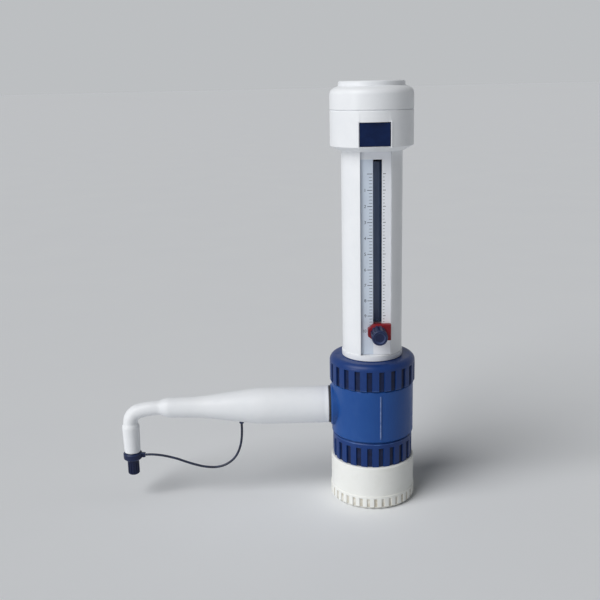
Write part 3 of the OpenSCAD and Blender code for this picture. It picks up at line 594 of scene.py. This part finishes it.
# Steel pieces. Rod, nuts, screws, clamp and valve spring in stainless steel, turned or drawn, with fine
# lines round them and a few handling marks.
def turned_steel():
    finish, place = new_finish("turned_steel")
    stretched = place.node("Mapping", {}, {"Vector": place, "Scale": (0.1, 0.1, 1)})
    lines = stretched.noise(5200, 3)
    marks = place.noise(260, 5).ramp(0.5, 0.75)
    lay(place, {
        "Base Color": marks.mix(paint(196, 198, 202), paint(168, 171, 176)),
        "Metallic": 1.0,
        "Roughness": 0.22 + 0.12 * lines + 0.15 * marks,
        "Normal": place.node("Bump", {}, {"Height": lines, "Distance": 0.006 * mm}),
    })
    return finish


steel = turned_steel()
dress(steel, "head_screws", "piston_rod", "rod_nut", "clamp_nut", "clamp_screw")


# Discharge spring. The small coil spring that presses the discharge ball onto its seat.
# It is wound from stainless wire and stands against the arm's plug. In the pump it gets shorter as the ball
# lifts; here it is drawn at its rest length.
spring_wire_d = 0.5 * mm
spring_sides = 12
spring_turns = 5
spring_steps = 24
spring_low, spring_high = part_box("discharge_spring")
spring_middle = (spring_low + spring_high) / 2
spring_length = spring_high.x - spring_low.x
ball_lift = next(joint["range_m"][1] for joint in frame["joints"] if joint["name"] == "discharge_ball_lift")


def coil_spring():
    """A ring round the wire, at the arm's end of the spring, is spun along the spring's axis."""
    bm = bmesh.new()
    ring = bmesh.ops.create_circle(bm, segments=spring_sides, radius=spring_wire_d / 2)["verts"]
    start = (spring_low.x + spring_wire_d / 2, spring_middle.y, spring_high.z - spring_wire_d / 2)
    bmesh.ops.transform(bm, verts=ring, matrix=Matrix.Translation(start)
                        @ Matrix.Rotation(math.radians(90), 4, "X"))
    steps = spring_turns * spring_steps
    bmesh.ops.spin(bm, geom=ring + bm.edges[:], axis=(1, 0, 0), cent=spring_middle, steps=steps,
                   angle=2 * math.pi * spring_turns, dvec=((spring_length - spring_wire_d) / steps, 0, 0))
    close_ends(bm)
    return bm


spring = as_piece(coil_spring(), "coil_spring", steel, "steel", "discharge_spring")
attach(spring, "valve_block")
1 - ball_lift / spring_length
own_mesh(spring)


# Guide tube. The dark tube that the sleeve slides on, extruded in plastic with a milled groove,
# and scuffed lengthwise by the bush that runs on it.
def guide_scuffs():
    finish, place = new_finish("guide_plastic")
    stretched = place.node("Mapping", {}, {"Vector": place, "Scale": (1, 1, 0.02)})
    scuffs = stretched.noise(1700, 3).ramp(0.5, 0.8)
    lay(place, {
        "Base Color": scuffs.mix(paint(84, 104, 140), paint(112, 130, 164)),
        "Roughness": 0.3 + 0.2 * scuffs,
        "Normal": place.node("Bump", {}, {"Height": stretched.noise(2600, 2), "Distance": 0.01 * mm}),
    })
    return finish


dress(guide_scuffs(), "guide_tube")


# Vent plug. A small dark plug in the back of the block that lets air into the bottle.
# It is moulded with a milled rim for the fingers and pressed in.
vent_ribs = 16
vent_outline = [
    (1.2, 0), (3.4, 0), (3.4, 6), (5, 6), (5, 6.9), (5, 7.1), (4.5, 7.6), (2.4, 7.6), (2, 7.1), (1.2, 7.1),
]
vent_floor = 4.7
vent_groove_top = 7
dark = paint(20, 30, 64)
dark_dull = paint(32, 44, 82)
# Paler rounded edges of the dark pieces: partly wear, partly painted highlight
dark_edge_wear_and_sheen = paint(66, 82, 124)
dark_plastic = moulded_plastic("dark_plastic", dark, dark_dull, dark_edge_wear_and_sheen, roughness=0.34)
vent_mesh = ribbed(vent_outline, vent_ribs, vent_floor, vent_groove_top, width=0.12)
vent_low, vent_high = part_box("vent_plug")
bmesh.ops.transform(vent_mesh, verts=vent_mesh.verts, matrix=Matrix.Translation(
    (0, vent_low.y, (vent_low.z + vent_high.z) / 2)) @ Matrix.Rotation(math.radians(-90), 4, "X"))
vent = as_piece(vent_mesh, "milled_vent_plug", dark_plastic, "dark_plastic", "vent_plug")
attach(vent, "valve_block")


# Discharge arm. The white tapered arm, its drooping spout, elbow and nozzle, moulded as one hollow piece
# that plugs into the boss. The halves of its mould met along the top and bottom.
arm_z = 65.4
arm_root = [(24.4, 11.8), (29.6, 11.8), (29.6, 12.1), (30, 12.5), (30.6, 12.6)]
arm_outline = arm_root + [(76.6, 12.6), (116.6, 7.5), (139.1, 7), (145.1, 5)]
spout_radius = arm_outline[-1][1]
arm_even_from = 32
arm_step = 1.5
arm_ease = 5
spout_ease = 0.9
spout_ease_from = 130
ease_steps = 4
droop_middle = (145.1, 15.4)
droop_radius = 50
droop_sine = 0.28
droop_turn = math.degrees(math.asin(droop_sine))
droop_steps = 8
elbow_middle = (156.58, 54.76)
elbow_radius = 9
elbow_steps = 20
nozzle_x = 165.58
nozzle_outline = [
    (54.7, 5), (54.3, 5.08), (53.6, 5.45), (52.8, 5.8), (52.1, 5.96), (51.4, 6), (46, 5.8), (40, 5.6),
    (34.6, 5.43), (34.1, 5.4), (33.8, 5.2), (33.7, 4.9), (33.7, 2.7), (34, 2.6), (36, 2.6),
]
bore_radius = nozzle_outline[-1][1]
arm_hollow = [
    (116.6, bore_radius), (116.6, 5.7), (76.6, 10.8), (31.4, 10.8), (31.4, bore_radius), (24.4, bore_radius),
]
arm_sides = 64


def arm_radius(x):
    """The arm's radius at a distance from the piston, along straight lines between its corners."""
    for (x0, r0), (x1, r1) in zip(arm_outline, arm_outline[1:]):
        if x0 < x <= x1:
            return r0 + (r1 - r0) * (x - x0) / (x1 - x0)
    return spout_radius if x > arm_outline[-1][0] else arm_outline[0][1]


def eased_radius(x):
    """The same radius with its corners rounded, over a shorter length at the spout."""
    reach = arm_ease if x < spout_ease_from else spout_ease
    nearby = [arm_radius(x + reach * step / ease_steps) for step in range(-ease_steps, ease_steps + 1)]
    return sum(nearby) / len(nearby)


def spout_bends():
    """Places and headings along the drooping spout and round the elbow."""
    places = []
    for (x, z), radius, first, last, count in (
            (droop_middle, droop_radius, 0, droop_turn, droop_steps),
            (elbow_middle, elbow_radius, droop_turn, 90, elbow_steps)):
        for step in range(count):
            angle = math.radians(first + (last - first) * step / count)
            centre = (-x - radius * math.sin(angle), z + radius * math.cos(angle))
            places.append((centre, (-math.cos(angle), -math.sin(angle))))
    return places


def arm_stations():
    """Rings along the outside as far as the nozzle, and back along the tube's bore and the arm's hollow."""
    along = (-1, 0)
    down = (0, -1)
    bends = spout_bends()
    stations = [((-x, arm_z), along, radius) for x, radius in arm_root]
    even_length = droop_middle[0] - arm_even_from
    steps = round(even_length / arm_step)
    for step in range(steps):
        x = arm_even_from + even_length * step / steps
        stations.append(((-x, arm_z), along, max(eased_radius(x), spout_radius)))
    stations += [(centre, heading, spout_radius) for centre, heading in bends]
    stations += [((-nozzle_x, z), down, radius) for z, radius in nozzle_outline]
    stations += [(centre, heading, bore_radius) for centre, heading in reversed(bends)]
    stations += [((-x, arm_z), along, radius) for x, radius in arm_hollow]
    return stations + stations[:1]


def arm_seam(place):
    """The parting line along the top and bottom of the arm and round its spout."""
    return abs(place.axis("Y")).ramp(0.28 * mm, 0.1 * mm)


white = paint(240, 242, 245)
white_dull = paint(233, 236, 240)
white_edge = paint(226, 229, 233)
arm_finish = moulded_plastic("arm_plastic", white, white_dull, white_edge, roughness=0.34, seam=arm_seam)
arm_mesh = drawn_along(
    [(Vector(centre) * mm, heading, radius * mm) for centre, heading, radius in arm_stations()], arm_sides)
arm = as_piece(arm_mesh, "tapered_arm", arm_finish, "white_plastic", "discharge_arm")
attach(arm, "valve_block")


# Discharge tube. A clear tube of soft fluoroplastic that carries the liquid through the arm to the tip.
# It is extruded and bent, and slightly milky.
def milky_tube():
    finish, place = new_finish("milky_tube")
    cloud = place.noise(300, 3).ramp(0.35, 0.7)
    lay(place, {
        "Base Color": cloud.mix(paint(236, 240, 242), paint(220, 226, 230)),
        "Roughness": 0.22 + 0.15 * cloud,
        "Transmission Weight": 0.55,
        "IOR": 1.38,
        "Normal": place.node("Bump", {}, {"Height": place.noise(900, 2), "Distance": 0.01 * mm}),
    })
    return finish


dress(milky_tube(), "discharge_tube")


# Tether stud. A small dark stud pressed into the underside of the arm, with a rounded collar that holds
# the tether's end.
stud_outline = [(0, 0), (1.1, 0), (1.6, 0.5), (1.6, 1.2), (1.25, 1.6), (1.1, 1.8), (1.1, 5.2), (0, 5.2)]
stud_sides = 32
stud_mesh = turned(stud_outline, stud_sides, closed=False)
soften(stud_mesh, width=0.15)
bmesh.ops.translate(stud_mesh, verts=stud_mesh.verts, vec=((stud_low.x + stud_high.x) / 2, 0, stud_low.z))
stud = as_piece(stud_mesh, "tether_stud", dark_plastic, "dark_plastic", "tether_anchor")
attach(stud, "valve_block")


# Nozzle cap. A dark push-on cap for the tip, moulded with grooves for the fingers round its body,
# a wide flange, and a lug where the tether starts.
cap_ribs = 14
cap_outline = [
    (0, 17.4), (3.15, 17.4), (3.95, 18.2), (3.95, 26.4), (3.95, 27), (3.95, 28.4), (5.6, 28.4), (6.4, 29.2),
    (6.4, 32.6), (5.6, 33.4), (2.7, 33.4), (2.7, 21.4), (0, 21.4),
]
cap_floor = 3.55
cap_groove_top = 26.7
lug_middle = (7.1, 0, 31)
lug_size = (3.2, 2.6, 3.2)


def box_mesh(middle, size):
    """A box by its middle and its size, in millimetres."""
    bm = bmesh.new()
    sized = Matrix.Diagonal((*[side * mm for side in size], 1))
    bmesh.ops.create_cube(bm, size=1, matrix=Matrix.Translation(Vector(middle) * mm) @ sized)
    return bm


def join(bm, other):
    """Adds another mesh to a piece's mesh."""
    copied = bpy.data.meshes.new("copied")
    other.to_mesh(copied)
    other.free()
    bm.from_mesh(copied)
    bpy.data.meshes.remove(copied)


cap_mesh = ribbed(cap_outline, cap_ribs, cap_floor, cap_groove_top, width=0.2, closed=False)
lug_mesh = box_mesh(lug_middle, lug_size)
soften(lug_mesh, width=0.4)
join(cap_mesh, lug_mesh)
bmesh.ops.translate(cap_mesh, verts=cap_mesh.verts, vec=(-nozzle_x * mm, 0, 0))
cap = as_piece(cap_mesh, "grooved_cap", dark_plastic, "dark_plastic", "nozzle_cap")
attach(cap, "nozzle_cap")


# Sleeve and guide bush. The white tube that is lifted to fill the pump, extruded and machined with a flat
# for the scale and a slot for the slider. A bush in its foot runs on the guide tube.
sleeve_finish = moulded_plastic("sleeve_plastic", white, white_dull, white_edge, roughness=0.3,
                                seam=back_seam)
sleeve_mesh = rounded_copy("sleeve", width=0.3)
sleeve = as_piece(sleeve_mesh, "slotted_sleeve", sleeve_finish, "white_plastic", "sleeve")
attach(sleeve, "plunger")
dress(sleeve_finish, "guide_bush")


# Scale. A thin grey plate sunk into the sleeve's front, printed in dark ink with lines for every fifth of
# a millilitre on both sides of the slot and with plain numbers.
scale_front = 15.79
slot_left = -0.55
slot_right = 5.15
slot_top = 231.2
ink_depth = 0.03
zero_z = 222.4
scale_ml = 10
pitch_per_ml = 10.15
lines_per_ml = 5
slot_margin = 0.5
line_lengths = {"whole": 3.2, "fifth": 2}
line_widths = {"whole": 0.36, "fifth": 0.24}
short_share = 0.55
number_right = -4.9
number_height = 2.8


def scale_plate_finish():
    finish, place = new_finish("scale_plate")
    stretched = place.node("Mapping", {}, {"Vector": place, "Scale": (1, 1, 0.04)})
    brushed = stretched.noise(2400, 2)
    handled = place.noise(150, 4).ramp(0.45, 0.75)
    left_of_slot = place.axis("X").ramp((slot_left + 0.15) * mm, slot_left * mm)
    tinted = left_of_slot * place.axis("Z").ramp((slot_top + 0.2) * mm, slot_top * mm)
    bare = (0.5 * handled).mix(paint(234, 237, 243), paint(226, 230, 237))
    tint = (0.5 * handled + 0.2 * brushed).mix(paint(211, 222, 236), paint(200, 211, 227))
    lay(place, {
        "Base Color": tinted.mix(bare, tint),
        "Roughness": 0.36 + 0.1 * brushed + 0.1 * handled,
        "Normal": place.node("Bump", {}, {"Height": brushed, "Distance": 0.006 * mm}),
    })
    return finish


def scale_ink():
    finish, place = new_finish("scale_ink")
    thin = place.noise(1200, 3).ramp(0.5, 0.75)
    lay(place, {
        "Base Color": thin.mix(paint(52, 60, 78), paint(96, 104, 120)),
        "Roughness": 0.45 + 0.15 * thin,
        "Normal": place.node("Bump", {}, {"Height": thin, "Distance": 0.004 * mm}),
    })
    return finish


def scale_lines():
    """Lines at the slot's left side, and shorter ones at its right side."""
    bm = bmesh.new()
    for count in range(scale_ml * lines_per_ml + 1):
        kind = "fifth" if count % lines_per_ml else "whole"
        height = zero_z - count * pitch_per_ml / lines_per_ml
        for edge, side, share in ((slot_left, -1, 1), (slot_right, 1, short_share)):
            length = line_lengths[kind] * share
            middle = (edge + side * (slot_margin + length / 2), -scale_front - ink_depth / 2, height)
            join(bm, box_mesh(middle, (length, ink_depth, line_widths[kind])))
    return bm


def scale_numbers():
    """Each number is set as text, made a mesh and stood upright against the plate."""
    bm = bmesh.new()
    for value in range(1, scale_ml + 1):
        text = bpy.data.curves.new("number", "FONT")
        text.body = str(value)
        text.size = number_height * mm
        text.align_x = "RIGHT"
        text.align_y = "CENTER"
        text.extrude = ink_depth / 2 * mm
        holder = bpy.data.objects.new("number", text)
        flat = bpy.data.meshes.new_from_object(holder)
        height = zero_z - value * pitch_per_ml
        flat.transform(Matrix.Translation(Vector((number_right, -scale_front - ink_depth / 2, height)) * mm)
                       @ Matrix.Rotation(math.radians(90), 4, "X"))
        bm.from_mesh(flat)
        bpy.data.objects.remove(holder)
        bpy.data.meshes.remove(flat)
    bmesh.ops.remove_doubles(bm, verts=bm.verts, dist=merge_distance)
    bmesh.ops.beautify_fill(bm, faces=[face for face in bm.faces if len(face.verts) == 3], edges=bm.edges)
    return bm


dress(scale_plate_finish(), "scale_panel")
ink = scale_ink()
for made, name in ((scale_lines(), "scale_lines"), (scale_numbers(), "scale_numbers")):
    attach(as_piece(made, name, ink, "dark_plastic"), "plunger")


# Head. The white grip at the top that is pulled up and pushed down, moulded as a ring and a lid
# that snaps into it. The lid has a raised disc with a small mark where the plastic was fed in.
lid_outline = [
    (0, 273), (20.4, 273), (20.4, 257.7), (23.4, 257.7), (23.4, 261.2), (26, 261.2), (26.5, 261.7),
    (26.5, 270.6), (26.2, 272.2), (25.3, 273.6), (23.6, 274.8), (21.6, 275.5), (21, 275.7), (21, 277.9),
    (20.2, 278.7), (2.2, 278.7), (1.8, 278.5), (0, 278.5),
]
lid_sides = 128
head_finish = moulded_plastic("head_plastic", white, white_dull, white_edge, roughness=0.32)
ring_mesh = rounded_copy("head_ring", width=0.45)
ring = as_piece(ring_mesh, "head_grip", head_finish, "white_plastic", "head_ring")
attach(ring, "plunger")
lid_mesh = turned(lid_outline, lid_sides, closed=False)
soften(lid_mesh, width=0.25)
lid = as_piece(lid_mesh, "snap_lid", head_finish, "white_plastic", "head_lid")
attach(lid, "plunger")


# Label plate. A bare dark blue plate set into the front of the head, cut from glossy laminate
# with a slightly uneven skin.
def laminate():
    finish, place = new_finish("plate_laminate")
    haze = place.noise(210, 4).ramp(0.45, 0.75)
    lay(place, {
        "Base Color": haze.mix(paint(5, 27, 68), paint(10, 34, 78)),
        "Roughness": 0.28 + 0.12 * haze,
        "Specular IOR Level": 0.2,
        "Normal": place.node("Bump", {}, {"Height": place.noise(420, 2), "Distance": 0.01 * mm}),
    })
    return finish


plate_low, plate_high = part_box("label_plate")
plate_mesh = box_mesh((plate_low + plate_high) / 2 / mm, (plate_high - plate_low) / mm)
soften(plate_mesh, width=0.3)
plate = as_piece(plate_mesh, "bare_plate", laminate(), "plate_navy", "label_plate")
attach(plate, "plunger")


# Slider. The red block that is set to a volume, moulded with a blunt pointer towards the scale
# and a tongue that runs in the slot.
slider_low, slider_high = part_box("slider_block")
slider_middle = (slider_low.z + slider_high.z) / 2
pointer_from = -0.8
pointer_margin = 1
pointer_share = 0.45


def red_slider():
    """The block's left end is drawn in from above and below to a pointer."""
    bm = merged_copy("slider_block")
    bmesh.ops.bisect_plane(bm, geom=bm.verts[:] + bm.edges[:] + bm.faces[:],
                           plane_co=(pointer_from * mm, 0, 0), plane_no=(1, 0, 0))
    for vert in bm.verts:
        if vert.co.x < (pointer_from - pointer_margin) * mm:
            vert.co.z = slider_middle + (vert.co.z - slider_middle) * pointer_share
    soften(bm, width=0.35)
    return bm


# The slider's paler rounded edges are partly wear and partly painted highlight
red_finish = moulded_plastic(
    "slider_plastic", paint(122, 16, 30), paint(138, 28, 40), paint(168, 60, 70), roughness=0.32)
slider = as_piece(red_slider(), "pointer_slider", red_finish, "slider_red", "slider_block")
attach(slider, "slider")


# Thumb knob. The dark fluted knob that clamps the slider, moulded round the head of its screw.
# Its front is dished, with a raised rim.
knob_flutes = 12
knob_low, knob_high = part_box("thumb_knob")
knob_outline = [
    (1.55, 0), (4.3, 0), (5.1, 0.8), (5.1, 11), (5.1, 11.6), (4.5, 12.4), (3.4, 12.4), (3, 11.9), (0, 11.8),
]
knob_bore = [(0, 9), (1.55, 9)]
knob_floor = 4.55
knob_groove_top = 11.3
knob_mesh = ribbed(knob_bore + knob_outline, knob_flutes, knob_floor, knob_groove_top, width=0.2,
                   closed=False)
bmesh.ops.transform(knob_mesh, verts=knob_mesh.verts, matrix=Matrix.Translation(
    ((knob_low.x + knob_high.x) / 2, knob_high.y, (knob_low.z + knob_high.z) / 2))
    @ Matrix.Rotation(math.radians(90), 4, "X"))
knob = as_piece(knob_mesh, "fluted_knob", dark_plastic, "dark_plastic", "thumb_knob")
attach(knob, "knob")


# Floor and light. A plain pale floor under soft daylight from the left front, with a low window
# on the left that gives the upright walls their highlights.
floor_reach = 30
floor_drop = 0.2 * mm
fill_strength = 0.13
view_strength = 0.45
floor_finish, floor_place = new_finish("studio_floor")
lay(floor_place, {
    "Base Color": floor_place.noise(9, 3).mix(paint(238, 240, 243), paint(241, 243, 245)),
    "Roughness": 0.8,
    "Specular IOR Level": 0,
})
floor_mesh = bmesh.new()
bmesh.ops.create_grid(floor_mesh, x_segments=1, y_segments=1, size=floor_reach,
                      matrix=Matrix.Translation((0, 0, -floor_drop)))
floor = bpy.data.objects.new("studio_floor", bpy.data.meshes.new("studio_floor"))
floor_mesh.to_mesh(floor.data)
floor_mesh.free()
floor.data.materials.append(floor_finish)
bpy.context.scene.collection.objects.link(floor)

for name, strength, spread, direction in (
        ("daylight", 2.1, 40, (-0.95, -0.78, 1.2)), ("low_window", 0.75, 16, (-0.8, -0.62, 0.05))):
    lamp = bpy.data.objects.new(name, bpy.data.lights.new(name, "SUN"))
    lamp.data.energy = strength
    lamp.data.angle = math.radians(spread)
    lamp.rotation_euler = Vector(direction).to_track_quat("Z", "Y").to_euler()
    bpy.context.scene.collection.objects.link(lamp)

world = bpy.data.worlds.new("studio")
bpy.context.scene.world = world
world.use_nodes = True
world.node_tree.nodes.clear()
air = Wire(world.node_tree)
seen, mirrored, through = [
    air.node("LightPath", output=kind) for kind in ("Is Camera Ray", "Is Glossy Ray", "Is Transmission Ray")]
in_view = air.math("MAXIMUM", seen, air.math("MAXIMUM", mirrored, through))
backdrop = air.node("Background", {}, {
    "Color": paint(240, 243, 246),
    "Strength": fill_strength + view_strength * in_view,
})
air.node("OutputWorld", {}, {"Surface": backdrop})
